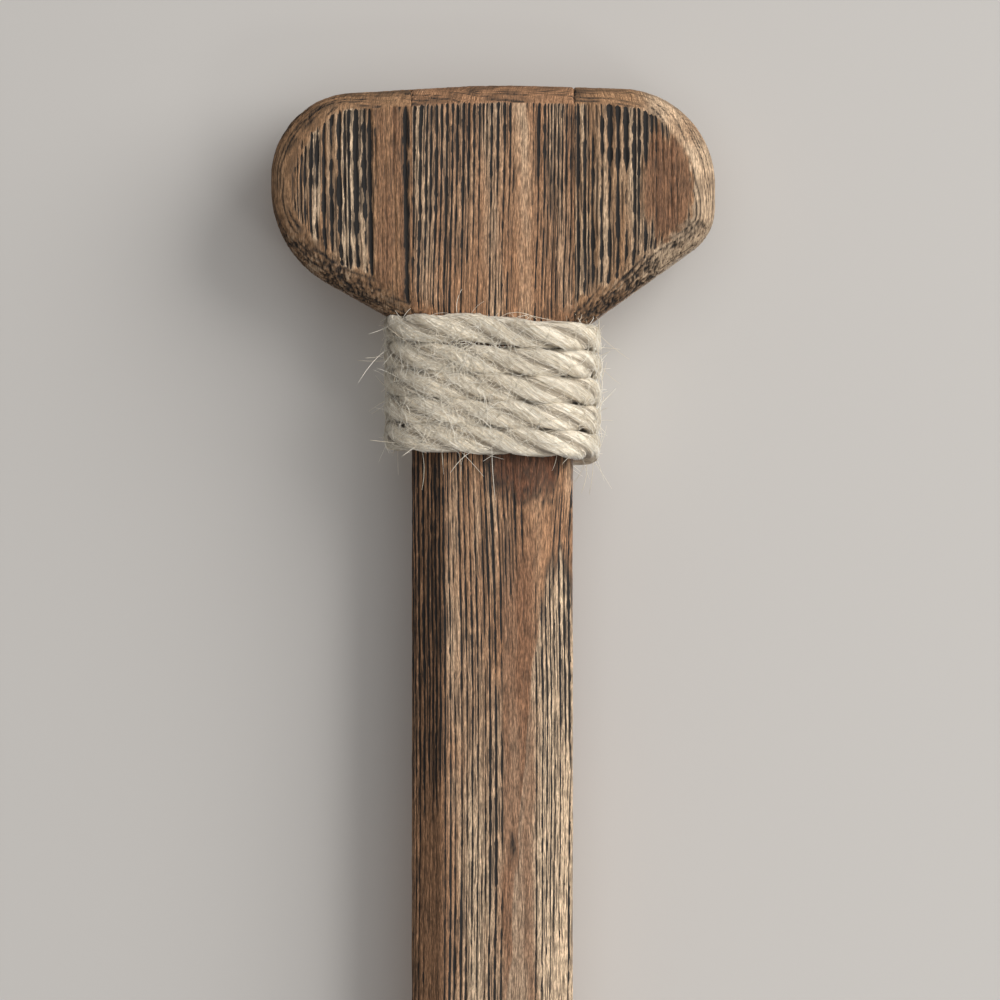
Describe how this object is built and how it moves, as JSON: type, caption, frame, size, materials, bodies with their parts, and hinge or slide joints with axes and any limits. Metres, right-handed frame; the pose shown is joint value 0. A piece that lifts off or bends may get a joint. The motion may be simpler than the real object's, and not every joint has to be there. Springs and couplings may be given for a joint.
{
  "type": "wooden oar",
  "caption": "Brushed softwood oar with a palm grip, a rope binding round the neck under it, a shaft with planed corners and a flat blade.",
  "frame": {"origin": "middle of the shaft's flat back, halfway between the rope's seat and the blade", "axes": "+Z along the oar towards the grip, -Y out of the front of the blade, +X to the right seen from the front"},
  "size_m": [0.15, 0.0404, 1.5],
  "materials": {
    "stick_wood": "brushed softwood with dark stained grain, unvarnished",
    "cheek_wood": "brushed softwood with dark stained grain, unvarnished",
    "blade_wood": "brushed softwood with dark stained grain, unvarnished",
    "dowel_wood": "plain turned beech",
    "jute_rope": "laid jute with loose fibres",
    "tack_steel": "dull steel"
  },
  "bodies": {
    "root": {"stick": "stick_wood", "grip_cheek_left": "cheek_wood", "grip_cheek_right": "cheek_wood", "grip_dowels": "dowel_wood", "blade_board_left": "blade_wood", "blade_board_right": "blade_wood", "blade_dowels": "dowel_wood", "rope_binding": "jute_rope", "rope_tacks": "tack_steel"}
  },
  "joints": []
}
